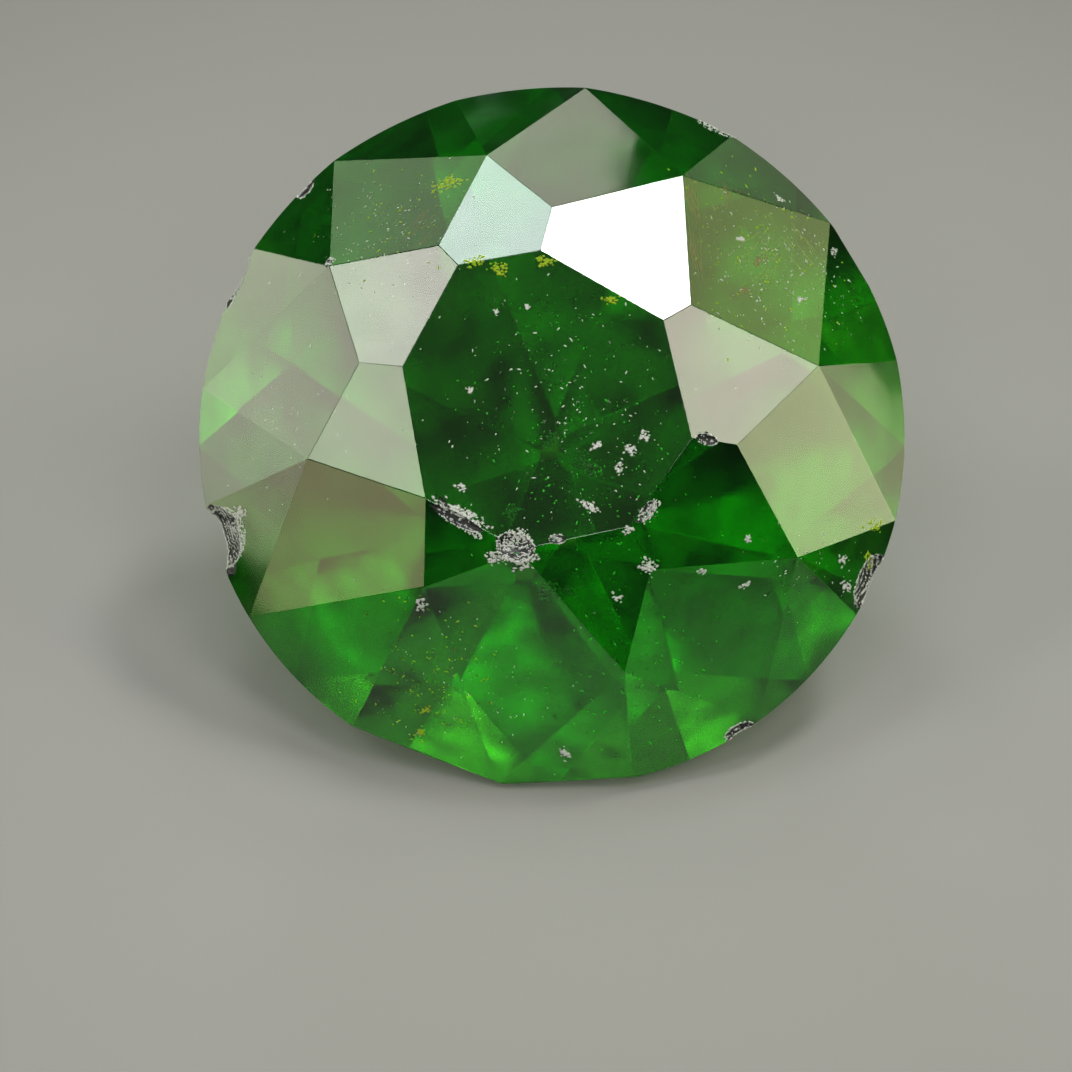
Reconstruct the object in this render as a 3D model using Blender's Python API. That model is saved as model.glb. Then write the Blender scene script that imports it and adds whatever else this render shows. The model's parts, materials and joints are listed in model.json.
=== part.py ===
"""A loose demantoid garnet: a round stone with a hand-cut crown and pavilion, lying on one pavilion facet.

The stone is cut the way a cutter does it. A turned blank is ground flat by flat, and each flat is one
plane, set by its index (the turn round the stone's axis), its angle from the girdle and how deep it goes.
The cutting frame has the table up, the girdle's middle at height 0 and the index counted anticlockwise
from +X as seen from above the table. Lengths in the cutting frame are millimetres.
"""

import math

import bmesh
import bpy
from mathutils import Matrix, Vector

MILLIMETRE = 0.001

# The whole stone
GIRDLE_RADIUS = 3.03
GIRDLE_CENTRE = (-0.03, -0.03)
GIRDLE_SIDES = 120
GIRDLE_TOP = 0.06
GIRDLE_BOTTOM = -0.06
TABLE_HEIGHT = 1.22
BLANK_MARGIN = 0.30

# The crown: eight star facets round the table and eight kites between them, one every 45 degrees.
# The cutter missed the even spacing a little, and each error is read from the stone itself.
STAR_FIRST_INDEX = 13.0
STAR_ANGLE = 24.0
STAR_INDEX_ERRORS = (0, 2, -3, 4, -3, 4, -1, -3)
STAR_ANGLE_ERRORS = (0, 1, 2, 0, 0, 0, 0, 2)
STAR_RADII = (1.04, 1.09, 1.33, 1.28, 1.18, 1.16, 1.08, 1.06)

KITE_FIRST_INDEX = 35.5
KITE_ANGLE = 36.0
KITE_INDEX_ERRORS = (1, -1, -1, 2, -1, -2, 4, -1)
KITE_ANGLE_ERRORS = (-1, 0, 2, 1, -2, -3, -2, -2)
KITE_RADII = (2.93, 3.04, 3.05, 3.00, 3.02, 2.99, 2.99, 3.01)

# The sixteen upper girdle facets meet each other and the kites at these index errors on the girdle
KITE_TIP_ERRORS = (2, 4, 3, 2, -4, 1, 0, -5)
UPPER_SPLIT_ERRORS = (-1, 1, 3, 0, -1, -2, 0, 1)

# The pavilion: eight mains, of which the first is the facet that the stone lies on
REST_INDEX = 270.0
REST_ANGLE = 42.0
MAIN_INDEX_ERRORS = (0, 1, -2, 1, 0, -1, 2, -1)
MAIN_ANGLE_ERRORS = (0.0, 0.5, -0.5, 0.0, 0.5, -0.5, 0.0, 0.5)
LOWER_SPLIT_HEIGHT = -1.38
CULET_HEIGHT = -2.69

# Two short flats on the girdle, where the rough ran out, from one index to another
GIRDLE_FLATS = ((236.0, 262.0), (262.0, 284.0))

# Wear. Each chip is a shell-shaped bite: its name, its place (index, radius, height), the angle from the
# stone's axis that the blow came from, its half sizes (long, wide, deep) and how far its long side turns
# from the girdle's direction
CHIPS = (
    ("girdle_shell", (198, 3.02, 0.04), 60, (0.27, 0.34, 0.11), 0),
    ("girdle_nick_high_left", (136, 3.03, 0.08), 60, (0.10, 0.08, 0.06), 0),
    ("girdle_flake_high_right", (62, 3.02, 0.07), 60, (0.19, 0.07, 0.05), 0),
    ("girdle_flake_low_right", (334, 2.98, 0.05), 55, (0.24, 0.16, 0.07), 10),
    ("girdle_nick_low_right", (301, 3.03, 0.05), 60, (0.14, 0.08, 0.06), 0),
    ("girdle_flake_left", (155, 3.03, 0.02), 85, (0.26, 0.06, 0.04), 0),
    ("table_edge_splinter", (229, 1.22, 1.22), 12, (0.25, 0.055, 0.05), 13),
    ("table_corner_shell", (254, 1.20, 1.22), 15, (0.17, 0.15, 0.05), 0),
    ("table_edge_nick_right", (312, 1.14, 1.21), 15, (0.11, 0.05, 0.035), 15),
    ("table_edge_nick_front", (271, 1.08, 1.22), 12, (0.07, 0.04, 0.03), 0),
    ("star_edge_notch", (349, 1.28, 1.17), 20, (0.05, 0.10, 0.04), 0),
    ("star_tip_nick", (145, 2.34, 0.76), 40, (0.05, 0.05, 0.03), 0),
)
CHIP_SUBDIVISIONS = 3

# A point nearer than this to a cutting plane counts as on it
ON_PLANE = 0.0002

STEPS = range(8)


def direction(index, angle):
    """The outward direction of a crown facet: index round the axis, angle from the girdle's plane."""
    turn = math.radians(index)
    lean = math.radians(angle)
    return Vector((math.sin(lean) * math.cos(turn), math.sin(lean) * math.sin(turn), math.cos(lean)))


def downward(index, angle):
    """The outward direction of a pavilion facet."""
    normal = direction(index, angle)
    normal.z = -normal.z
    return normal


def at(index, radius, height):
    """The point at an index, a distance from the axis and a height."""
    turn = math.radians(index)
    return Vector((radius * math.cos(turn), radius * math.sin(turn), height))


def at_girdle(index, height):
    """The point on the stone's outline, which is turned a little off the crown's axis."""
    return at(index, GIRDLE_RADIUS, height) + Vector((*GIRDLE_CENTRE, 0.0))


def plane(normal, point):
    """A plane as its normal and its distance from the middle of the stone."""
    return normal, normal.dot(point)


def level(height):
    return Vector((0.0, 0.0, 1.0)), height


def meet(first, second, third):
    """The one point that lies on three planes."""
    rows = Matrix((first[0], second[0], third[0]))
    return rows.inverted() @ Vector((first[1], second[1], third[1]))


def through(first, second, third):
    """The plane through three points, facing away from the middle of the stone."""
    normal = (second - first).cross(third - first).normalized()
    if normal.dot(first) < 0:
        normal.negate()
    return plane(normal, first)


def raised_to(surface, index):
    """The point where a facet's plane passes over the outline at an index."""
    normal, distance = surface
    height = (distance - normal.dot(at_girdle(index, 0.0))) / normal.z
    return at_girdle(index, height)


def star_planes():
    stars = []
    for step in STEPS:
        index = STAR_FIRST_INDEX + 45 * step + STAR_INDEX_ERRORS[step]
        angle = STAR_ANGLE + STAR_ANGLE_ERRORS[step]
        stars.append(plane(direction(index, angle), at(index, STAR_RADII[step], TABLE_HEIGHT)))
    return stars


def kite_planes():
    kites = []
    for step in STEPS:
        index = KITE_FIRST_INDEX + 45 * step + KITE_INDEX_ERRORS[step]
        angle = KITE_ANGLE + KITE_ANGLE_ERRORS[step]
        kites.append(plane(direction(index, angle), at(index, KITE_RADII[step], GIRDLE_TOP)))
    return kites


def upper_girdle_planes(stars, kites):
    """Each star's tip is where it meets two kites. A girdle facet runs from there to the girdle."""
    facets = []
    for step in STEPS:
        following = (step + 1) % 8
        tip_index = KITE_FIRST_INDEX + 45 * step + KITE_TIP_ERRORS[step]
        kite_tip = raised_to(kites[step], tip_index)
        for star, beside in ((step, step - 1), (following, following)):
            star_tip = meet(stars[star], kites[step], kites[beside])
            split_index = STAR_FIRST_INDEX + 45 * star + UPPER_SPLIT_ERRORS[star]
            split = at_girdle(split_index, GIRDLE_TOP)
            facets.append(through(star_tip, kite_tip, split))
    return facets


def main_planes():
    mains = []
    for step in STEPS:
        index = REST_INDEX + 45 * step + MAIN_INDEX_ERRORS[step]
        angle = REST_ANGLE + MAIN_ANGLE_ERRORS[step]
        mains.append(plane(downward(index, angle), at_girdle(index, GIRDLE_BOTTOM)))
    return mains


def lower_girdle_planes(mains):
    """Each pair runs from the ridge between two mains down to the girdle, on both sides of the ridge."""
    facets = []
    for step in STEPS:
        following = (step + 1) % 8
        ridge_top = meet(mains[step], mains[following], level(LOWER_SPLIT_HEIGHT))
        ridge_index = math.degrees(math.atan2(ridge_top.y, ridge_top.x))
        split = at_girdle(ridge_index, GIRDLE_BOTTOM)
        for main in (step, following):
            tip = at_girdle(REST_INDEX + 45 * main + MAIN_INDEX_ERRORS[main], GIRDLE_BOTTOM)
            facets.append(through(ridge_top, split, tip))
    return facets


def turned_blank():
    """The stone before faceting: a disc as thick as the whole stone."""
    top = TABLE_HEIGHT + BLANK_MARGIN
    bottom = CULET_HEIGHT - BLANK_MARGIN
    blank = bmesh.new()
    bmesh.ops.create_cone(
        blank,
        cap_ends=True,
        segments=GIRDLE_SIDES,
        radius1=GIRDLE_RADIUS,
        radius2=GIRDLE_RADIUS,
        depth=top - bottom,
        matrix=Matrix.Translation((*GIRDLE_CENTRE, (top + bottom) / 2)),
    )
    return blank


def grind(stone, facet):
    """Takes away what lies outside a plane and closes the stone with one flat face."""
    normal, distance = facet
    bmesh.ops.bisect_plane(
        stone,
        geom=stone.verts[:] + stone.edges[:] + stone.faces[:],
        dist=ON_PLANE,
        plane_co=normal * distance,
        plane_no=normal,
        clear_outer=True,
    )
    rim = [edge for edge in stone.edges if edge.is_boundary]
    bmesh.ops.holes_fill(stone, edges=rim)


def cut_stone():
    stone = turned_blank()
    mains = main_planes()
    stars = star_planes()
    kites = kite_planes()
    for start, end in GIRDLE_FLATS:
        grind(stone, through(at_girdle(start, 0.0), at_girdle(end, 0.0), at_girdle(end, 1.0)))
    for facet in mains + lower_girdle_planes(mains):
        grind(stone, facet)
    grind(stone, plane(Vector((0.0, 0.0, -1.0)), Vector((0.0, 0.0, CULET_HEIGHT))))
    for facet in kites + upper_girdle_planes(stars, kites) + stars:
        grind(stone, facet)
    grind(stone, level(TABLE_HEIGHT))
    return stone


def lying_place(stone):
    """From the cutting frame to metres, with the stone on its first main and the origin under its middle."""
    lean = Matrix.Rotation(math.radians(REST_ANGLE), 4, "X")
    turned = [lean @ vert.co for vert in stone.verts]
    low = [min(point[axis] for point in turned) for axis in range(3)]
    high = [max(point[axis] for point in turned) for axis in range(3)]
    middle = Vector(((low[0] + high[0]) / 2, (low[1] + high[1]) / 2, low[2]))
    return Matrix.Scale(MILLIMETRE, 4) @ Matrix.Translation(-middle) @ lean


def chip_cutter(name, place, blow_angle, half_sizes, turn):
    """A rounded lens that takes one chip out of the stone's surface, in the cutting frame."""
    index = place[0]
    long, wide, deep = half_sizes
    lens = bmesh.new()
    bmesh.ops.create_icosphere(lens, subdivisions=CHIP_SUBDIVISIONS, radius=1.0)
    outward = direction(index, blow_angle)
    along = at(index + 90, 1.0, 0.0)
    upward = outward.cross(along)
    frame = Matrix((along, upward, outward)).transposed().to_4x4()
    spin = Matrix.Rotation(math.radians(turn), 4, "Z")
    size = Matrix.Diagonal((long, wide, deep, 1.0))
    lens.transform(Matrix.Translation(at(*place)) @ frame @ spin @ size)
    return lens


def garnet_material():
    material = bpy.data.materials.new("demantoid_green")
    material.use_nodes = True
    shader = material.node_tree.nodes["Principled BSDF"]
    shader.inputs["Base Color"].default_value = (0.02, 0.22, 0.01, 1.0)
    shader.inputs["Roughness"].default_value = 0.05
    shader.inputs["Metallic"].default_value = 0.0
    shader.inputs["IOR"].default_value = 1.88
    return material


def object_from(name, shape, place):
    """Puts a shape from the cutting frame into the scene as an object of its own."""
    shape.transform(place)
    mesh = bpy.data.meshes.new(name)
    shape.to_mesh(mesh)
    shape.free()
    made = bpy.data.objects.new(name, mesh)
    bpy.context.scene.collection.objects.link(made)
    return made


def chip_away(garnet, place):
    for chip in CHIPS:
        cutter = object_from(chip[0], chip_cutter(*chip), place)
        cutter.hide_render = True
        cutter.display_type = "WIRE"
        bite = garnet.modifiers.new(chip[0], "BOOLEAN")
        bite.operation = "DIFFERENCE"
        bite.object = cutter


def main():
    for old in list(bpy.data.objects):
        bpy.data.objects.remove(old)
    stone = cut_stone()
    place = lying_place(stone)
    garnet = object_from("garnet", stone, place)
    garnet.data.materials.append(garnet_material())
    chip_away(garnet, place)


main()
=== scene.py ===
# %% [markdown]
# # A demantoid garnet
#
# Demantoid is the green garnet. This one is a loose round stone of about six millimetres, cut by hand and
# a little worn, lying on one of its pavilion facets. A cut gem is a good lesson in looking, because almost
# nothing of what the eye sees is the stone itself. It sees lamps mirrored in the crown, lamps seen through
# the stone after two or three turns inside it, and the small flaws that catch light on the way.
#
# The lesson takes the plain solid of the stone, finds its facets again, cuts a finer stone with them, wears
# its edges, chips it, fills it with its flaws, and then lights it.

# %% Load the plain solid
import json
import math
import random

import bmesh
import bpy
import numpy as np
from mathutils import Matrix, Vector, noise
from mathutils.bvhtree import BVHTree


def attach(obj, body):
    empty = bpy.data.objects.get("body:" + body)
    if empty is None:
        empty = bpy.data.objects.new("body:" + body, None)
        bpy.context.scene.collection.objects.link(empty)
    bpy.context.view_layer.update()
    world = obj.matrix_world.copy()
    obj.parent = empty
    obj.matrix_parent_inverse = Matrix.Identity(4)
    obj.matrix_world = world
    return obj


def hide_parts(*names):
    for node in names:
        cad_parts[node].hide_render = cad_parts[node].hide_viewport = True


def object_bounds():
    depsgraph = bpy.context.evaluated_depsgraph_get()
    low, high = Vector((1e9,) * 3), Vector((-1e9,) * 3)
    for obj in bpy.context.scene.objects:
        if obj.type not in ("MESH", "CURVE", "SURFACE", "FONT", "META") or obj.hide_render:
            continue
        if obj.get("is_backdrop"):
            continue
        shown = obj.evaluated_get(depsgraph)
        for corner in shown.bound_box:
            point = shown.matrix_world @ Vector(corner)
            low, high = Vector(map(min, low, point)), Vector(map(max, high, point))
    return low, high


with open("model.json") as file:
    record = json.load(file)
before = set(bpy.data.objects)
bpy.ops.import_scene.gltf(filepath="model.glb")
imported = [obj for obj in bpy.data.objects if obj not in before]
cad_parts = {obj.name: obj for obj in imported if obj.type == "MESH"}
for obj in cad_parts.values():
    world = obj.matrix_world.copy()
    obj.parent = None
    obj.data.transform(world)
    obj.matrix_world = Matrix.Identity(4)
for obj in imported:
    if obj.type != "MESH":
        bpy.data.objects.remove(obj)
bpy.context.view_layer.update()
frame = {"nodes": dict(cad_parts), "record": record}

# %% [markdown]
# ## The stone's own frame
#
# A cutter thinks in the stone's own frame: the table is up, the girdle's middle is at height zero and the
# index counts the turn round the axis. The stone lies tilted here, so every place in this lesson is given
# in the stone's frame in millimetres, and one matrix carries it into the scene. The record of the solid
# names the table's middle and the direction it faces, and that is all that the matrix needs.

# %% From the stone's frame to the scene
MILLIMETRE = 0.001
TABLE_HEIGHT = 1.22

mounts = {mount["name"]: mount for mount in frame["record"]["mounts"]}
up = Vector(mounts["table"]["axis"]).normalized()
right = Vector((1.0, 0.0, 0.0))
back = up.cross(right).normalized()
middle = Vector(mounts["table"]["pos_m"]) - up * TABLE_HEIGHT * MILLIMETRE
turn = Matrix((right, back, up)).transposed().to_4x4()
stone_to_scene = Matrix.Translation(middle) @ turn @ Matrix.Scale(MILLIMETRE, 4)
scene_to_stone = stone_to_scene.inverted()
print("the stone leans", round(math.degrees(math.acos(up.z)), 1), "degrees from upright")

# %% [markdown]
# ## Finding the facets again
#
# The plain solid is a mesh of triangles. Each facet is many triangles in one plane, so triangles with the
# same normal and the same distance from the middle are put together and their areas added. What is large is
# a facet. The small rest is the inside of chips, and the narrow upright ones are the girdle.

# %% Group the triangles into planes
SAME_DIRECTION = 0.99999
SAME_DISTANCE = 0.002
LEAST_FACET_AREA = 0.10
LEAST_FLAT_AREA = 0.06
UPRIGHT_RISE = 0.1
CULET_RISE = -0.999


def triangles_in_stone_frame(node):
    """Normals, distances from the middle, areas and corners of a node's triangles, in millimetres."""
    mesh = node.data
    mesh.calc_loop_triangles()
    points = np.array([scene_to_stone @ vert.co for vert in mesh.vertices])
    corners = points[np.array([tri.vertices[:] for tri in mesh.loop_triangles])]
    cross = np.cross(corners[:, 1] - corners[:, 0], corners[:, 2] - corners[:, 0])
    double_area = np.linalg.norm(cross, axis=1)
    normals = cross / np.maximum(double_area, 1e-12)[:, None]
    distances = (normals * corners[:, 0]).sum(axis=1)
    return normals, distances, double_area / 2, corners


normals, distances, areas, corners = triangles_in_stone_frame(frame["nodes"]["garnet"])
left = np.ones(len(areas), bool)
planes = []
for first in np.argsort(-areas):
    if not left[first]:
        continue
    same = left & (normals @ normals[first] > SAME_DIRECTION)
    same &= np.abs(distances - distances[first]) < SAME_DISTANCE
    left &= ~same
    planes.append((normals[first], distances[first], areas[same].sum()))

crown_and_pavilion = []
girdle_flats = []
for plane in planes:
    rise, area = plane[0][2], plane[2]
    if abs(rise) < UPRIGHT_RISE:
        if area > LEAST_FLAT_AREA:
            girdle_flats.append(plane)
    elif area > LEAST_FACET_AREA or rise < CULET_RISE:
        crown_and_pavilion.append(plane)
print(len(crown_and_pavilion), "facets and", len(girdle_flats), "girdle flats, of", len(planes), "planes")
print("areas of the flats", [round(float(flat[2]), 3) for flat in girdle_flats], "square millimetres")

# %% [markdown]
# The girdle is the stone's waist, turned round on a lathe before the facets are cut. Its radius and its
# middle come from a circle fitted to the corners of the girdle's triangles. A circle is a straight-line
# problem once it is written as x² + y² = 2ax + 2by + c, so least squares solves it in one step. The corners
# inside chips would pull the circle, so it is fitted again without the tenth that lies farthest off.

# %% Fit the girdle's circle
STANDING_UPRIGHT = 0.02
FITTING_ROUNDS = 3
KEPT_SHARE = 0.9

upright = np.abs(normals[:, 2]) < STANDING_UPRIGHT
rim = corners[upright].reshape(-1, 3)[:, :2]
for _ in range(FITTING_ROUNDS):
    system = np.column_stack([2 * rim, np.ones(len(rim))])
    solved = np.linalg.lstsq(system, (rim**2).sum(axis=1), rcond=None)[0]
    girdle_centre = solved[:2]
    girdle_radius = math.sqrt(solved[2] + solved[:2] @ solved[:2])
    off = np.abs(np.linalg.norm(rim - girdle_centre, axis=1) - girdle_radius)
    rim = rim[off < np.quantile(off, KEPT_SHARE)]
print("girdle radius", round(girdle_radius, 3), "mm, middle", np.round(girdle_centre, 3))

# %% [markdown]
# ## Cutting a finer stone
#
# The same flats are now ground on a finer blank. `bisect_plane` with `clear_outer` takes away what is
# outside a plane, and `holes_fill` closes the cut with one flat face, which is what a lap does. Building it
# anew gives clean faces for the facets and a girdle that is round from close by.

# %% Grind the facets
GIRDLE_SIDES = 720
BLANK_HALF_HEIGHT = 3.4
ON_PLANE = 0.00005


def grind(stone, normal, distance):
    """Takes away what lies outside a plane and closes the cut."""
    bmesh.ops.bisect_plane(
        stone,
        geom=stone.verts[:] + stone.edges[:] + stone.faces[:],
        dist=ON_PLANE,
        plane_co=Vector(normal) * distance,
        plane_no=Vector(normal),
        clear_outer=True,
    )
    open_edges = [edge for edge in stone.edges if edge.is_boundary]
    bmesh.ops.holes_fill(stone, edges=open_edges)


stone = bmesh.new()
bmesh.ops.create_cone(
    stone,
    cap_ends=True,
    segments=GIRDLE_SIDES,
    radius1=girdle_radius,
    radius2=girdle_radius,
    depth=2 * BLANK_HALF_HEIGHT,
    matrix=Matrix.Translation((*girdle_centre, 0.0)),
)
for normal, distance, _ in girdle_flats + crown_and_pavilion:
    grind(stone, normal, distance)
volume = round(stone.calc_volume(), 2)
print("the cut stone has", len(stone.faces), "faces and", volume, "cubic millimetres")

# %% [markdown]
# ## Worn edges
#
# Facet edges of a stone that has been worn or carried about are not knife sharp. Each is rubbed to a strip
# a few thousandths of a millimetre wide, which shows as a fine bright or dark line. A bevel would be one
# way. On a convex stone there is a cleaner one: grind one more plane along each edge, halfway between the
# two facets, just deep enough to leave a strip of the wanted width. Garnet is hard, so the strips are fine.

# %% Rub the edges
STRIP_WIDTH = 0.007
STRIP_SHARE = (0.4, 1.2)
LEAST_EDGE_LENGTH = 0.08
LEAST_EDGE_TURN = math.radians(4)

random.seed(3)
strips = []
for edge in stone.edges:
    if edge.calc_length() < LEAST_EDGE_LENGTH or len(edge.link_faces) != 2:
        continue
    one, other = (face.normal for face in edge.link_faces)
    turn_over = one.angle(other)
    if turn_over < LEAST_EDGE_TURN:
        continue
    between = (one + other).normalized()
    depth = STRIP_WIDTH * random.uniform(*STRIP_SHARE) / 2 * math.tan(turn_over / 2)
    place = (edge.verts[0].co + edge.verts[1].co) / 2
    strips.append((between, between.dot(place) - depth))
for between, distance in strips:
    grind(stone, between, distance)
bmesh.ops.recalc_face_normals(stone, faces=stone.faces)
print(len(strips), "edges rubbed, now", len(stone.faces), "faces")

# %% [markdown]
# ## The girdle
#
# The girdle of this stone is bruted: ground against another stone and left matt, not polished. Under a
# loupe it is a frosted band of tiny pits. The upright faces of the girdle are cut across into rows, and
# noise pushes the new points in by up to a few thousandths of a millimetre, which breaks up the light as
# the pits do. The roughness of each face is kept in an attribute, so that one material serves the polished
# facets, the matt girdle and the chips.

# %% Frost the girdle
GIRDLE_ROWS = 7
PIT_DEPTH = 0.006
PIT_SIZE = 0.035
LEAST_RISE = 0.02
CROWN_ROUGHNESS = 0.05
PAVILION_ROUGHNESS = 0.16
GIRDLE_ROUGHNESS = 0.42
CHIP_ROUGHNESS = 0.45

roughness = stone.faces.layers.float.new("roughness")
band = [face for face in stone.faces if abs(face.normal.z) < STANDING_UPRIGHT]
for face in stone.faces:
    face[roughness] = CROWN_ROUGHNESS if face.normal.z > 0 else PAVILION_ROUGHNESS
for face in band:
    face[roughness] = GIRDLE_ROUGHNESS
in_band = set(band)
across = [
    edge
    for edge in {edge for face in band for edge in face.edges}
    if abs(edge.verts[0].co.z - edge.verts[1].co.z) > LEAST_RISE and in_band.issuperset(edge.link_faces)
]
parted = bmesh.ops.subdivide_edges(stone, edges=across, cuts=GIRDLE_ROWS, use_grid_fill=True)
for vert in {item for item in parted["geom_inner"] if isinstance(item, bmesh.types.BMVert)}:
    outward = Vector((vert.co.x - girdle_centre[0], vert.co.y - girdle_centre[1], 0.0)).normalized()
    vert.co -= outward * PIT_DEPTH * (0.5 + 0.5 * noise.noise(vert.co / PIT_SIZE))
print(len(band), "upright faces frosted, now", len(stone.faces), "faces")

# %% [markdown]
# ## Chips
#
# Garnet has no cleavage, so it chips like glass: each blow takes out a shallow shell with ripples that
# spread from where it was struck. A shell is a flattened ball. Its surface gets rings round the blow and a
# little unevenness, and a Boolean takes it out of the stone. A chip is seldom one shell, so each has a few
# smaller ones at its rim, at places that a seeded random draw picks.
#
# Each row gives the chip's place as index, radius and height, the angle from the axis that the blow came
# from, its half sizes along, across and into the stone, and how far it is turned.

# %% Where the chips are
CHIPS = {
    "girdle shell": ((198, 3.02, 0.04), 60, (0.27, 0.34, 0.11), 0),
    "girdle nick, high left": ((136, 3.03, 0.08), 60, (0.10, 0.08, 0.06), 0),
    "girdle flake, high right": ((62, 3.02, 0.07), 60, (0.19, 0.07, 0.05), 0),
    "girdle flake, low right": ((334, 2.98, 0.05), 55, (0.24, 0.16, 0.07), 10),
    "girdle nick, low right": ((301, 3.03, 0.05), 60, (0.14, 0.08, 0.06), 0),
    "girdle flake, left": ((155, 3.03, 0.02), 85, (0.26, 0.06, 0.04), 0),
    "table edge splinter": ((229, 1.22, 1.22), 12, (0.25, 0.055, 0.05), 13),
    "table corner shell": ((254, 1.20, 1.22), 15, (0.17, 0.15, 0.05), 0),
    "table edge nick, right": ((312, 1.14, 1.21), 15, (0.11, 0.05, 0.035), 15),
    "table edge nick, front": ((271, 1.08, 1.22), 12, (0.07, 0.04, 0.03), 0),
    "star edge notch": ((349, 1.28, 1.17), 20, (0.05, 0.10, 0.04), 0),
    "star tip nick": ((145, 2.34, 0.76), 40, (0.05, 0.05, 0.03), 0),
}
LARGE_SHELL = 0.2
RIPPLE_SPACING = 0.045
RIPPLE_HEIGHT = 0.0016
UNEVENNESS = 0.10
LUMPS = 1.7
BLOW_FROM_MIDDLE = 0.9


def at(index, radius, height):
    """The point at an index, a distance from the axis and a height."""
    angle = math.radians(index)
    return Vector((radius * math.cos(angle), radius * math.sin(angle), height))


def chip_axes(index, blow_angle):
    """The directions along, up and out of a chip that was struck at an angle from the axis."""
    lean = math.radians(blow_angle)
    along = at(index + 90, 1.0, 0.0)
    outward = at(index, math.sin(lean), math.cos(lean))
    return along, outward.cross(along), outward


def add_shell(cutters, place, blow_angle, half_sizes, turned, subdivisions):
    """Adds one rippled shell to the mesh of cutters, in the stone's frame."""
    along, upward, outward = chip_axes(place[0], blow_angle)
    axes = Matrix((along, upward, outward)).transposed().to_4x4()
    seat = Matrix.Translation(at(*place)) @ axes @ Matrix.Rotation(math.radians(turned), 4, "Z")
    made = bmesh.ops.create_icosphere(cutters, subdivisions=subdivisions, radius=1.0)
    blow = Vector((0.0, half_sizes[1] * BLOW_FROM_MIDDLE, 0.0))
    for vert in made["verts"]:
        bulge = 1 + UNEVENNESS * noise.noise(vert.co * LUMPS + Vector(place))
        local = Vector(vert.co[axis] * half_sizes[axis] * bulge for axis in range(3))
        ring = (local - blow).length / RIPPLE_SPACING
        local.z += RIPPLE_HEIGHT * math.sin(2 * math.pi * ring)
        vert.co = seat @ local


# %% Strike the chips
SPALLS_PER_CHIP = 3
SPALL_SHARE = (0.25, 0.45)
SPALL_ASIDE = (0.6, 1.0)
SPALL_SHIFT = 0.02
SPALL_TURN = 40
FINE, MEDIUM, COARSE = 5, 4, 3

random.seed(11)
bites = [bmesh.new() for _ in range(1 + SPALLS_PER_CHIP)]
for place, blow_angle, half_sizes, turned in CHIPS.values():
    detail = FINE if max(half_sizes) > LARGE_SHELL else MEDIUM
    add_shell(bites[0], place, blow_angle, half_sizes, turned, detail)
    index, radius, height = place
    for bite in bites[1:]:
        share = random.uniform(*SPALL_SHARE)
        sideways = random.choice((-1, 1)) * half_sizes[0] * random.uniform(*SPALL_ASIDE)
        moved = radius + random.uniform(-SPALL_SHIFT, SPALL_SHIFT)
        beside = (index + math.degrees(sideways / radius), moved, height)
        small = tuple(size * share for size in half_sizes)
        add_shell(bite, beside, blow_angle, small, random.uniform(-SPALL_TURN, SPALL_TURN), COARSE)


def object_from(name, shape):
    """Puts a shape from the stone's frame into the scene as an object."""
    shape.transform(stone_to_scene)
    mesh = bpy.data.meshes.new(name)
    shape.to_mesh(mesh)
    shape.free()
    made = bpy.data.objects.new(name, mesh)
    bpy.context.scene.collection.objects.link(made)
    return made


garnet = object_from("cut_garnet", stone)
cutters = []
for number, shape in enumerate(bites):
    mark = shape.faces.layers.float.new("roughness")
    for face in shape.faces:
        face[mark] = CHIP_ROUGHNESS
        face.smooth = True
    cutters.append(object_from(f"bite_{number}", shape))
    cut = garnet.modifiers.new(f"bite_{number}", "BOOLEAN")
    cut.operation = "DIFFERENCE"
    cut.object = cutters[-1]
graph = bpy.context.evaluated_depsgraph_get()
garnet.data = bpy.data.meshes.new_from_object(garnet.evaluated_get(graph))
garnet.modifiers.clear()
for cutter in cutters:
    bpy.data.objects.remove(cutter)
print(len(CHIPS), "chips struck, the stone now has", len(garnet.data.polygons), "faces")

# %% [markdown]
# ## Helpers for materials
#
# Colours are written as sRGB hex values, as a colour picker shows them, and one function turns them to the
# linear values that a shader needs. One more adds a node with its settings and its links.

# %% Colour and nodes


def linear(hex_colour):
    """An sRGB hex colour as a linear RGBA tuple."""
    channels = [int(hex_colour[place : place + 2], 16) / 255 for place in (1, 3, 5)]
    turned = [c / 12.92 if c <= 0.04045 else ((c + 0.055) / 1.055) ** 2.4 for c in channels]
    return (*turned, 1.0)


def add(tree, kind, settings=None, **links):
    """Adds a node. Settings are its properties, and links are its inputs: a value, or a socket to join.

    An input is named by its label, or by its number, as in _0, where two inputs share a label.
    """
    node = tree.nodes.new(kind)
    for name, value in (settings or {}).items():
        setattr(node, name, value)
    for name, value in links.items():
        socket = node.inputs[int(name[1:])] if name[1:].isdigit() else node.inputs[name.replace("_", " ")]
        if isinstance(value, bpy.types.NodeSocket):
            tree.links.new(value, socket)
        else:
            socket.default_value = value
    return node


def new_material(name):
    """A material with nothing but a Principled shader joined to its output."""
    material = bpy.data.materials.new(name)
    material.use_nodes = True
    tree = material.node_tree
    tree.nodes.clear()
    shader = add(tree, "ShaderNodeBsdfPrincipled")
    output = add(tree, "ShaderNodeOutputMaterial", Surface=shader.outputs["BSDF"])
    return material, tree, shader, output


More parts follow.
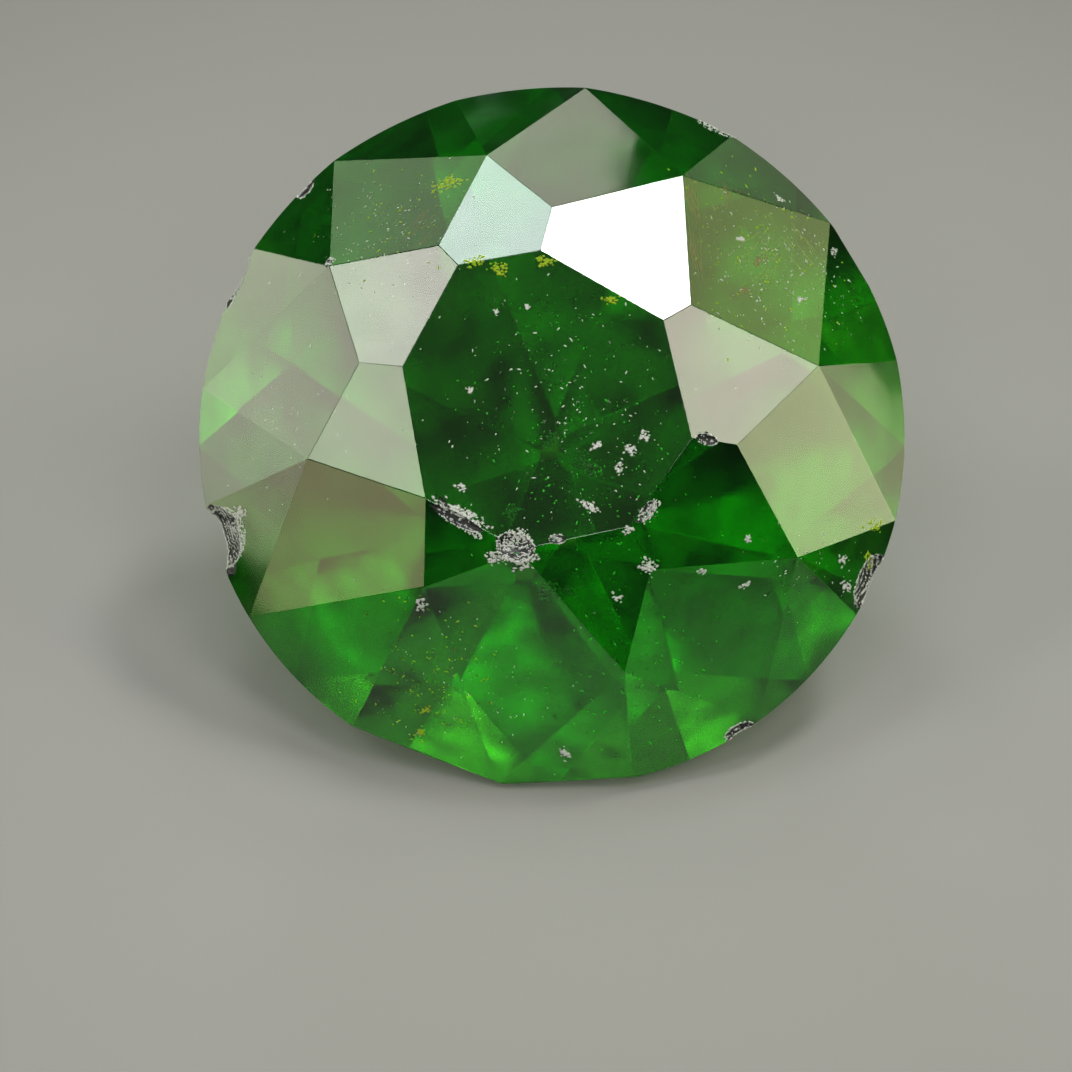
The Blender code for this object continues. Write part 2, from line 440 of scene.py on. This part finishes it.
# %% [markdown]
# ## Demantoid
#
# Demantoid is andradite garnet, coloured green by a little chromium. Two things make its look. Its index
# of refraction is 1.88, well above quartz or glass, so facets mirror strongly and light is held inside.
# And it swallows red and blue and lets green pass, more of it the longer the way, so thin rims are bright
# yellow-green and the heart is nearly black. The second is a job for Volume Absorption with a plain colour
# and density, and not for a tint on the surface, which would colour all depths alike.
#
# The densities are per metre. Light goes some 8 mm through a stone like this, and trial against its bright
# rim and dark heart gave 0.76 per mm for red, 0.225 for green and 1.15 for blue. The node's colour is what
# one density leaves of each: 1 minus its share.

# %% The stone's material
DEMANTOID_IOR = 1.88
FADE_PER_METRE = (760.0, 225.0, 1150.0)
ABSORPTION_DENSITY = 1200.0

demantoid, tree, shader, output = new_material("demantoid_polished")
shader.inputs["Base Color"].default_value = linear("#FFFFFF")
shader.inputs["Transmission Weight"].default_value = 1.0
shader.inputs["IOR"].default_value = DEMANTOID_IOR
passing = [1 - fade / ABSORPTION_DENSITY for fade in FADE_PER_METRE]
absorption = add(tree, "ShaderNodeVolumeAbsorption", Color=(*passing, 1.0), Density=ABSORPTION_DENSITY)
tree.links.new(absorption.outputs["Volume"], output.inputs["Volume"])
print("absorption colour", [round(value, 3) for value in passing])

# %% [markdown]
# The polish is not perfect. A lap leaves the facets slightly wavy, and a carried stone gathers a film of
# grease in faint patches and fine scratches. The pavilion, which nobody sees, is often left rougher than
# the crown, and this one seems to be: no sharp edges of back facets can be made out through the table.
# The face attribute says how rough a face is. A noise varies it, and the rougher a face the more uneven it
# is, so the same value scales the bump. The bump's noise is drawn out a little the way that the lap ran.
# Noise seldom leaves the range from 0.3 to 0.7, so that is what is spread over the film's share.

# %% The polish
PER_MILLIMETRE = 1000.0
WAVE_HEIGHT = 0.010 * MILLIMETRE
LAP_STRETCH = (1.0, 0.45, 0.7)
LAP_WAVES = 5.0
FILM_PATCHES = 2.6
FILM_SHARE = (0.7, 1.7)
NOISE_FROM, NOISE_TO = 0.3, 0.7

by_object = add(tree, "ShaderNodeTexCoord").outputs["Object"]
film = add(tree, "ShaderNodeTexNoise", Vector=by_object, Scale=FILM_PATCHES * PER_MILLIMETRE, Detail=0.0)
spread = add(tree, "ShaderNodeMapRange", Value=film.outputs["Fac"], From_Min=NOISE_FROM, From_Max=NOISE_TO)
spread.inputs["To Min"].default_value, spread.inputs["To Max"].default_value = FILM_SHARE
of_face = add(tree, "ShaderNodeAttribute", {"attribute_name": "roughness"}).outputs["Fac"]
varied = add(tree, "ShaderNodeMath", {"operation": "MULTIPLY"}, _0=of_face, _1=spread.outputs["Result"])
tree.links.new(varied.outputs["Value"], shader.inputs["Roughness"])
lapped = add(tree, "ShaderNodeMapping", Vector=by_object, Scale=LAP_STRETCH).outputs["Vector"]
waves = add(tree, "ShaderNodeTexNoise", Vector=lapped, Scale=LAP_WAVES * PER_MILLIMETRE, Detail=0.0)
height = add(tree, "ShaderNodeMath", {"operation": "MULTIPLY"}, _0=of_face, _1=waves.outputs["Fac"])
bump = add(tree, "ShaderNodeBump", Height=height.outputs["Value"], Distance=WAVE_HEIGHT, Strength=1.0)
tree.links.new(bump.outputs["Normal"], shader.inputs["Normal"])

garnet.data.materials.clear()
garnet.data.materials.append(demantoid)
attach(garnet, "root")
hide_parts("garnet")

# %% [markdown]
# ## The flaws, and the painted glints, glow and highlight
#
# Demantoid is prized for its flaws. Fibres of asbestos spread through it in curved bundles, and pinpoint
# crystals and healed cracks lie about them. In this stone one sees pale pinpoints under and in the table,
# a rust stain along cracks in the upper right, and crushed white powder in the chips. Where the light
# behind is strong it also shows green glints and a glow, and these are painted: green grains stand for the
# glints, and yellow grains under the top left of the table are partly yellow specks and partly a painted
# glow. The white of the shell on the left of the girdle is partly powder and partly a painted highlight.
#
# Each flaw is made of small uneven grains, longer than they are wide and flat in the facet that they are
# seen through. A grain could be a disc or a ball. A ball with a little noise costs no more and has no two
# sides alike. Places are given in the stone's frame, and a ray dropped on the finished stone finds the
# surface there.

# %% Grains in and on the surface
ABOVE = 5.0
FLATNESS = 0.35
GRAIN_UNEVENNESS = 0.5
GRAIN_LUMPS = 1.3

surface = BVHTree.FromObject(garnet, bpy.context.evaluated_depsgraph_get())


def seat_at(location, normal, depth, turned):
    """A frame below a point of the surface: its Z is the surface's normal, and its X lies at a turn."""
    z_axis = (scene_to_stone.to_3x3() @ normal).normalized()
    way = math.radians(turned)
    y_axis = z_axis.cross(Vector((math.cos(way), math.sin(way), 0.0))).normalized()
    x_axis = y_axis.cross(z_axis)
    place = scene_to_stone @ location - z_axis * depth
    return Matrix.Translation(place) @ Matrix((x_axis, y_axis, z_axis)).transposed().to_4x4()


def seat_under(x, y, depth, turned):
    """A frame under a point of the crown, or nothing where the ray misses the stone."""
    location, normal, _, _ = surface.ray_cast(stone_to_scene @ Vector((x, y, ABOVE)), -up)
    return seat_at(location, normal, depth, turned) if location else None


def ball(subdivisions):
    """The points and faces of a ball of radius 1, as plain lists."""
    shape = bmesh.new()
    bmesh.ops.create_icosphere(shape, subdivisions=subdivisions, radius=1.0)
    points = [vert.co.copy() for vert in shape.verts]
    faces = [[vert.index for vert in face.verts] for face in shape.faces]
    shape.free()
    return points, faces


BALL_POINTS, BALL_FACES = ball(1)


def add_grain(grains, seat, long, wide):
    """Adds an uneven flat grain to a pair of lists, one of points and one of faces."""
    points, faces = grains
    seed = Vector((random.uniform(0, 90), random.uniform(0, 90), 0.0))
    half_sizes = Vector((long, wide, wide * FLATNESS))
    first = len(points)
    for point in BALL_POINTS:
        bulge = 1 + GRAIN_UNEVENNESS * noise.noise(point * GRAIN_LUMPS + seed)
        points.append(seat @ (point * half_sizes * bulge))
    faces.extend([first + corner for corner in face] for face in BALL_FACES)


# %% [markdown]
# The grains that can be told apart follow the stone. Each row is a place, a half length, a half width and a
# turn, and is drawn as a swarm of tiny flakes. The pale ones come up to the surface, where polishing leaves
# them standing a little, so that they catch the light themselves, and so do the yellow ones. The green and
# the rust-coloured ones lie below it. The green ones are painted glints, the first two yellow rows are
# partly a painted glow, and the last two pale rows are partly a painted highlight.

# %% The grains that can be told apart
PALE_GRAINS = [
    (-0.78, -0.87, 0.23, 0.040, -26), (-0.75, -0.86, 0.13, 0.045, -26), (-0.38, -1.13, 0.06, 0.055, 0),
    (-0.49, -1.23, 0.10, 0.050, -25), (-0.23, -1.26, 0.11, 0.050, 25), (-0.28, -1.05, 0.06, 0.055, 0),
    (0.01, -1.08, 0.05, 0.040, 20), (0.28, -0.81, 0.09, 0.040, -25), (0.79, -0.84, 0.12, 0.045, 53),
    (0.60, -1.01, 0.04, 0.040, 0), (0.76, -1.29, 0.065, 0.065, 0), (0.34, -0.30, 0.05, 0.030, 30),
    (0.62, -0.34, 0.06, 0.045, 0), (0.53, -0.49, 0.05, 0.040, 0), (0.74, -0.23, 0.05, 0.040, 0),
    (-0.77, -0.65, 0.04, 0.030, 0), (-1.10, -1.58, 0.05, 0.050, 0), (0.51, -1.54, 0.03, 0.030, 0),
    (1.22, -1.31, 0.03, 0.030, 0), (-0.70, 0.16, 0.03, 0.025, 0), (-0.48, 0.81, 0.025, 0.025, 0),
    (-0.23, 0.85, 0.025, 0.025, 0), (1.60, -1.03, 0.025, 0.025, 0), (1.59, -1.40, 0.06, 0.017, 35),
    (2.44, -1.15, 0.05, 0.040, 0), (2.48, -1.37, 0.05, 0.050, 0), (1.57, 1.55, 0.035, 0.025, 0),
    (2.08, 1.05, 0.035, 0.025, 0), (1.94, 1.99, 0.035, 0.025, 0), (2.41, 1.54, 0.04, 0.040, 0),
    # The last two rows lie in the shell on the left of the girdle: partly crushed powder, partly a painted
    # highlight that makes it white where the stone shows a glint.
    (0.08, -2.78, 0.05, 0.040, -30), (-2.74, -0.86, 0.07, 0.050, -60), (-2.68, -0.74, 0.06, 0.040, -60),
]
# Painted glints: green grains placed where the stone shows green glints inside it.
GREEN_GRAINS = [
    (-0.03, -0.26, 0.075, 0.060, 0), (0.27, -0.47, 0.165, 0.060, -35), (-0.05, -1.51, 0.080, 0.075, 0),
    (0.11, -1.50, 0.060, 0.040, 0), (-0.36, -0.87, 0.065, 0.065, 0),
]
YELLOW_GRAINS = [
    # The first two rows, under the top left of the table, are partly yellow specks and partly a painted
    # glow.
    (-0.67, 1.23, 0.085, 0.040, 20), (-0.46, 1.17, 0.085, 0.060, 0), (-0.08, 1.23, 0.075, 0.040, 0),
    (0.47, 0.91, 0.065, 0.040, 0), (-0.92, 1.99, 0.145, 0.070, 15), (-1.10, -2.42, 0.035, 0.025, 0),
    (-1.14, -2.60, 0.035, 0.025, 0), (2.68, -1.13, 0.075, 0.045, -50), (2.72, -0.84, 0.070, 0.050, 0),
]
RUST_GRAINS = [(1.74, 1.39, 0.070, 0.025, 50), (1.60, 1.09, 0.050, 0.025, 30)]
BURIED = 0.05
BURIED_SHARE = (0.4, 1.6)
SUNK_SHARE = 0.2
FLAKE_TURN = 30
FLAKE_STRETCH = 1.4
LEAST_FLAKES = 10
FLAKES_PER_SQUARE_MILLIMETRE = 7000
FLAKE_HALF_SIZES = (0.006, 0.016)

random.seed(5)
pale, green, yellow, rust = (([], []) for _ in range(4))
swarms = (
    (pale, PALE_GRAINS, 0.0),
    (green, GREEN_GRAINS, BURIED),
    (yellow, YELLOW_GRAINS, 0.0),
    (rust, RUST_GRAINS, BURIED),
)
for grains, rows, depth in swarms:
    for x, y, long, wide, turned in rows:
        way = math.radians(turned)
        for _ in range(round(LEAST_FLAKES + FLAKES_PER_SQUARE_MILLIMETRE * long * wide)):
            along, across = random.gauss(0, long / 2), random.gauss(0, wide / 2)
            here_x = x + along * math.cos(way) - across * math.sin(way)
            here_y = y + along * math.sin(way) + across * math.cos(way)
            flake = random.uniform(*FLAKE_HALF_SIZES)
            sunk = depth * random.uniform(*BURIED_SHARE) + flake * SUNK_SHARE
            seat = seat_under(here_x, here_y, sunk, random.gauss(turned, FLAKE_TURN))
            if seat:
                add_grain(grains, seat, flake * FLAKE_STRETCH, flake)

# %% [markdown]
# The rest is a matter of how many and where. Clouds of fine specks are drawn at random, each cloud with its
# middle, its reach, its number and its half sizes. Most of the specks reach the surface, where the lamps
# light them, and some lie a little below it. The fibres lie in bundles, each with its middle, its direction,
# its length, its number and its reach.

# %% Clouds of specks and bundles of fibres
# The green clouds are painted glints, like the green grains.
CLOUDS = [
    (pale, 2.0, 1.3, 0.75, 320, (0.003, 0.011)),
    (yellow, 1.7, 1.5, 0.80, 190, (0.004, 0.013)),
    (pale, -1.4, 1.5, 0.70, 170, (0.003, 0.009)),
    (yellow, -1.3, 1.7, 0.60, 60, (0.004, 0.012)),
    (pale, 0.1, 0.1, 1.10, 220, (0.003, 0.010)),
    (green, 0.2, -0.6, 0.90, 200, (0.003, 0.010)),
    (green, -0.1, 0.4, 0.70, 70, (0.003, 0.008)),
    (yellow, -1.0, -2.2, 0.60, 150, (0.003, 0.011)),
    (pale, -0.8, -2.3, 0.80, 110, (0.003, 0.008)),
    (green, 0.6, -2.1, 0.80, 120, (0.004, 0.012)),
    (pale, 2.2, -1.2, 0.50, 60, (0.003, 0.009)),
    (pale, -2.3, 0.0, 0.70, 60, (0.003, 0.008)),
]
BUNDLES = [
    (rust, 1.15, 1.88, 90, 0.30, 12, 0.10), (rust, 1.15, 1.36, 90, 0.30, 10, 0.10),
    (rust, -1.14, 1.64, 40, 0.18, 14, 0.16), (rust, 1.50, 2.01, 70, 0.20, 8, 0.12),
    (yellow, 1.75, 1.45, 55, 0.18, 14, 0.25), (yellow, 2.15, 1.55, 120, 0.16, 10, 0.20),
]
RIM_MARGIN = 0.10
SPECK_DEPTHS = (0.0, 0.0, 0.0, 0.02, 0.05)
SPECK_LENGTH = (1.0, 2.2)
SPECK_WIDTH = 0.8
FIBRE_HALF_WIDTH = 0.0045
FIBRE_DEPTH = (0.03, 0.10)
FIBRE_SHARE = (0.3, 1.0)
FIBRE_TURN = 12


def scattered(x, y, reach):
    """A random place round a middle, or nothing where that is too near the rim."""
    spot = Vector((random.gauss(x, reach / 2), random.gauss(y, reach / 2)))
    return spot if (spot - Vector(girdle_centre)).length < girdle_radius - RIM_MARGIN else None


for grains, x, y, reach, count, sizes in CLOUDS:
    for spot in filter(None, (scattered(x, y, reach) for _ in range(count))):
        size = random.uniform(*sizes)
        seat = seat_under(*spot, random.choice(SPECK_DEPTHS), random.uniform(0, 180))
        add_grain(grains, seat, size * random.uniform(*SPECK_LENGTH), size * SPECK_WIDTH)
for grains, x, y, turned, length, count, reach in BUNDLES:
    for spot in filter(None, (scattered(x, y, reach) for _ in range(count))):
        seat = seat_under(*spot, random.uniform(*FIBRE_DEPTH), random.gauss(turned, FIBRE_TURN))
        add_grain(grains, seat, length * random.uniform(*FIBRE_SHARE), FIBRE_HALF_WIDTH)

# %% [markdown]
# Crushed powder lies in the chips. Points are drawn in each shell's outline and dropped to the nearest
# surface, which is the shell's floor.

# %% Powder in the chips
GRAINS_PER_SQUARE_MILLIMETRE = 5000
POWDER_HALF_SIZES = (0.005, 0.013)
POWDER_WIDTH = 0.7

random.seed(8)
for place, blow_angle, (long, wide, _), _ in CHIPS.values():
    along, upward, outward = chip_axes(place[0], blow_angle)
    for _ in range(round(GRAINS_PER_SQUARE_MILLIMETRE * math.pi * long * wide)):
        way, reach = random.uniform(0, 2 * math.pi), math.sqrt(random.random())
        spot = at(*place) + along * long * reach * math.cos(way) + upward * wide * reach * math.sin(way)
        location, normal, _, _ = surface.find_nearest(stone_to_scene @ spot)
        size = random.uniform(*POWDER_HALF_SIZES)
        seat = seat_at(location, normal, 0.0, random.uniform(0, 180))
        add_grain(pale, seat, size, size * POWDER_WIDTH)

# %% [markdown]
# Each kind of grain is one mesh with one material. Powder and grains are dull, with a roughness of about a
# half, and the green grains, which are painted glints, keep some shine. A fine noise mottles each colour by
# a quarter, since no two flakes catch the light alike. The real mottling is finer than a flake, and is drawn
# as coarse as one.
# A Mix node has sockets for numbers and vectors too: inputs 6 and 7 and output 2 are the ones for colours.

# %% The materials of the flaws, and of the painted glints, glow and highlight
FLAWS_AND_PAINTED_LIGHT = {
    # Pale specks and powder, and in the shell on the left of the girdle partly a painted highlight.
    "pale_grains": (pale, "pale_powder_and_painted_highlight", "#F4F8F0", 0.5),
    # Painted glints: green grains that stand for glints of light inside the stone.
    "green_grains": (green, "painted_green_glint", "#43D83C", 0.35),
    # Yellow specks, and under the top left of the table partly a painted glow.
    "yellow_grains": (yellow, "yellow_grain_and_painted_glow", "#BFE02C", 0.45),
    "rust_grains": (rust, "iron_stain", "#B47A30", 0.6),
}
MOTTLING = 45
DARK_SHARE = 0.75

for name, ((points, faces), finish_name, colour, dullness) in FLAWS_AND_PAINTED_LIGHT.items():
    mesh = bpy.data.meshes.new(name)
    mesh.from_pydata([stone_to_scene @ point for point in points], [], faces)
    mesh.shade_smooth()
    piece = bpy.data.objects.new(name, mesh)
    bpy.context.scene.collection.objects.link(piece)
    material, tree, shader, _ = new_material(finish_name)
    by_object = add(tree, "ShaderNodeTexCoord").outputs["Object"]
    grain = add(tree, "ShaderNodeTexNoise", Vector=by_object, Scale=MOTTLING * PER_MILLIMETRE, Detail=1.0)
    red, green_part, blue, _ = linear(colour)
    shade = add(tree, "ShaderNodeMix", {"data_type": "RGBA"}, _0=grain.outputs["Fac"])
    shade.inputs[6].default_value = (red * DARK_SHARE, green_part * DARK_SHARE, blue * DARK_SHARE, 1.0)
    shade.inputs[7].default_value = (red, green_part, blue, 1.0)
    tree.links.new(shade.outputs[2], shader.inputs["Base Color"])
    shader.inputs["Roughness"].default_value = dullness
    piece.data.materials.append(material)
    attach(piece, "root")
    print(name, len(piece.data.polygons), "faces")

# %% [markdown]
# ## The camera
#
# The stone is looked at nearly square on to its table, from ten of its radii away, which is close. The
# camera therefore stands in the stone's frame, a few degrees nearer to the front than the axis, and turns a
# little so that the stone sits above the middle of the picture.

# %% Stand the camera
PICTURE_SIDE = 1072
FOCAL_PIXELS = 3490.3
CAMERA_DISTANCE = 30.0
CAMERA_LEAN = math.radians(8.42)
STONE_MIDDLE_PIXEL = (555.2, 430.6)
SENSOR = 36.0
SEEN_FROM, SEEN_TO = 0.0005, 2.0

lens = bpy.data.cameras.new("camera")
lens.sensor_width = SENSOR
lens.lens = SENSOR * FOCAL_PIXELS / PICTURE_SIDE
lens.clip_start = SEEN_FROM
lens.clip_end = SEEN_TO
camera = bpy.data.objects.new("camera", lens)
bpy.context.scene.collection.objects.link(camera)
bpy.context.scene.camera = camera

outward = Vector((0.0, -math.sin(CAMERA_LEAN), math.cos(CAMERA_LEAN)))
camera_up = Vector((0.0, math.cos(CAMERA_LEAN), math.sin(CAMERA_LEAN)))
aside = (PICTURE_SIDE / 2 - STONE_MIDDLE_PIXEL[0]) / FOCAL_PIXELS
below = (PICTURE_SIDE / 2 - STONE_MIDDLE_PIXEL[1]) / FOCAL_PIXELS
looking = (-outward + right * aside - camera_up * below).normalized()
side = looking.cross(camera_up).normalized()
axes = Matrix((side, side.cross(looking), -looking)).transposed().to_4x4()
camera.matrix_world = Matrix.Translation(stone_to_scene @ (outward * CAMERA_DISTANCE)) @ turn @ axes
print("the lens is", round(lens.lens, 1), "mm on a", SENSOR, "mm sensor")

# %% [markdown]
# ## The floor
#
# A plain pale board, matt and a little warm, big enough to run past the picture in every direction.

# %% Lay the floor
FLOOR_HALF_SIDE = 0.25

floor_shape = bmesh.new()
bmesh.ops.create_grid(floor_shape, x_segments=1, y_segments=1, size=FLOOR_HALF_SIDE)
floor_mesh = bpy.data.meshes.new("floor")
floor_shape.to_mesh(floor_mesh)
floor_shape.free()
floor = bpy.data.objects.new("floor", floor_mesh)
bpy.context.scene.collection.objects.link(floor)
board, tree, shader, _ = new_material("matt_board")
shader.inputs["Base Color"].default_value = linear("#BDBCB8")
shader.inputs["Roughness"].default_value = 0.9
shader.inputs["Specular IOR Level"].default_value = 0.0
floor.data.materials.append(board)
floor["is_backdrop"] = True

# %% [markdown]
# ## The lights
#
# A facet is a small flat mirror, so each lamp is put where the facets that should be bright look at it. For
# a facet with normal n and a camera in direction v, the facet looks along 2(n·v)n − v. The softboxes are
# plain area lights on a half globe round the stone, aimed two millimetres above the floor, and each is
# given by its direction, its half width and half height as angles, its radiance and its colour. An area
# light of P watts and area A has a radiance of P / (πA). A demantoid facet mirrors a tenth of that.
#
# The boxes on the left, on the right and behind are mirrored by the crown's facets, the small lamp gives the
# one flash, and the weak box over the table puts a little sheen on it. The boxes whose names begin with
# front are not mirrored by any facet: their light goes in through the table, turns round in the pavilion
# and comes back green.
#
# Each box has a honeycomb grid before it, which keeps its light together and the floor quiet. It makes the
# light some twenty times stronger along its axis for the same power, so the power is divided by that.

# %% Hang the softboxes
GLOBE_RADIUS = 0.075
GRID_ANGLE = math.radians(40)
GRID_GAIN = 20.7
AIM_HEIGHT = 0.002

SOFTBOXES = {
    "left, upper": (-90, 49, 8, 5, 4.2, "#FFFCF2"),
    "left, middle": (-62, 29.5, 7, 6, 3.4, "#FAFFE6"),
    "left, lower": (-97, 15, 9, 7, 2.9, "#FFF8E8"),
    "left, rear": (-116, 14, 7, 5, 2.5, "#FFFAE8"),
    "left, horizon": (-57, 3, 8, 6, 1.5, "#FFF6C4"),
    "left, horizon rear": (-75, 4, 8, 7, 2.2, "#FFF8D8"),
    "right, upper": (78, 41, 8, 6, 3.9, "#FFF8E6"),
    "right, lower": (82, 12, 12, 7, 4.0, "#F8FFCC"),
    "right, behind": (118, 34, 7, 8, 1.5, "#ECFFB0"),
    "right, far behind": (140, 27, 14, 6, 0.7, "#F4FFD8"),
    "lamp": (125.5, 63.5, 5, 5, 15.5, "#FFFFFF"),
    "over the back": (-158, 67, 6, 5, 5.4, "#ECFCF6"),
    "behind, upper": (172, 46, 4, 4, 2.1, "#FFFAEC"),
    "behind, left": (-141, 37, 6, 5, 1.1, "#E4FFD0"),
    "behind, low": (-170, 20, 10, 6, 4.0, "#F4FAFF"),
    "behind, right": (148, 53, 5, 4, 3.6, "#FFFFFF"),
    "behind, far left": (-150, 50, 4, 4, 3.9, "#FFFFFF"),
    "over the table": (0, 57, 9, 7, 0.12, "#F0FFD8"),
    "overhead": (0, 80, 10, 8, 2.0, "#FFF4FF"),
    "front left, high": (-40, 62, 8, 8, 1.6, "#FFFFFF"),
    "front middle": (0, 33, 8, 5, 3.1, "#FFFFFF"),
    "front left, near the floor": (-37, 18, 5, 4, 2.0, "#FFFFFF"),
    "front left, low": (-18, 35, 8, 6, 3.2, "#FFFFFF"),
    "front right, high": (40, 62, 8, 8, 3.2, "#FFFFFF"),
    "front right, middle": (40, 40, 8, 8, 2.3, "#FFFFFF"),
    "front right, low": (18, 35, 8, 6, 2.2, "#FFFFFF"),
}


def hang_softbox(name, azimuth, elevation, half_width, half_height, radiance, colour):
    """Azimuth 0 is the camera's side and 90 is to the right. All angles are in degrees."""
    rise = math.radians(elevation)
    toward = at(azimuth - 90, math.cos(rise), math.sin(rise))
    light = bpy.data.lights.new(name, "AREA")
    light.shape = "RECTANGLE"
    light.size = 2 * GLOBE_RADIUS * math.tan(math.radians(half_width))
    light.size_y = 2 * GLOBE_RADIUS * math.tan(math.radians(half_height))
    light.spread = GRID_ANGLE
    light.color = linear(colour)[:3]
    light.energy = radiance * math.pi * light.size * light.size_y / GRID_GAIN
    lamp = bpy.data.objects.new(name, light)
    bpy.context.scene.collection.objects.link(lamp)
    lamp.location = toward * GLOBE_RADIUS + Vector((0.0, 0.0, AIM_HEIGHT))
    lamp.rotation_euler = (-toward).to_track_quat("-Z", "Y").to_euler()


for name, row in SOFTBOXES.items():
    hang_softbox(name, *row)
widest = 2 * GLOBE_RADIUS * math.tan(math.radians(max(row[2] for row in SOFTBOXES.values())))
print(len(SOFTBOXES), "softboxes, the widest", round(widest / MILLIMETRE), "mm")

# %% [markdown]
# The rest of the room is nearly dark and a little cool. It keeps the facets that mirror no box from being
# black. The plain Standard view with a little contrast leaves the colours as the shaders give them.

# %% The dim room
ROOM_STRENGTH = 0.05

world = bpy.data.worlds.new("studio")
world.use_nodes = True
room = world.node_tree.nodes["Background"]
room.inputs["Color"].default_value = linear("#F3F9FF")
room.inputs["Strength"].default_value = ROOM_STRENGTH
bpy.context.scene.world = world
bpy.context.scene.view_settings.view_transform = "Standard"
bpy.context.scene.view_settings.look = "Medium High Contrast"

# %% Measure and finish
visual_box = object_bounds()
sides = visual_box[1] - visual_box[0]
print("the finished stone measures", [round(size / MILLIMETRE, 3) for size in sides], "mm")
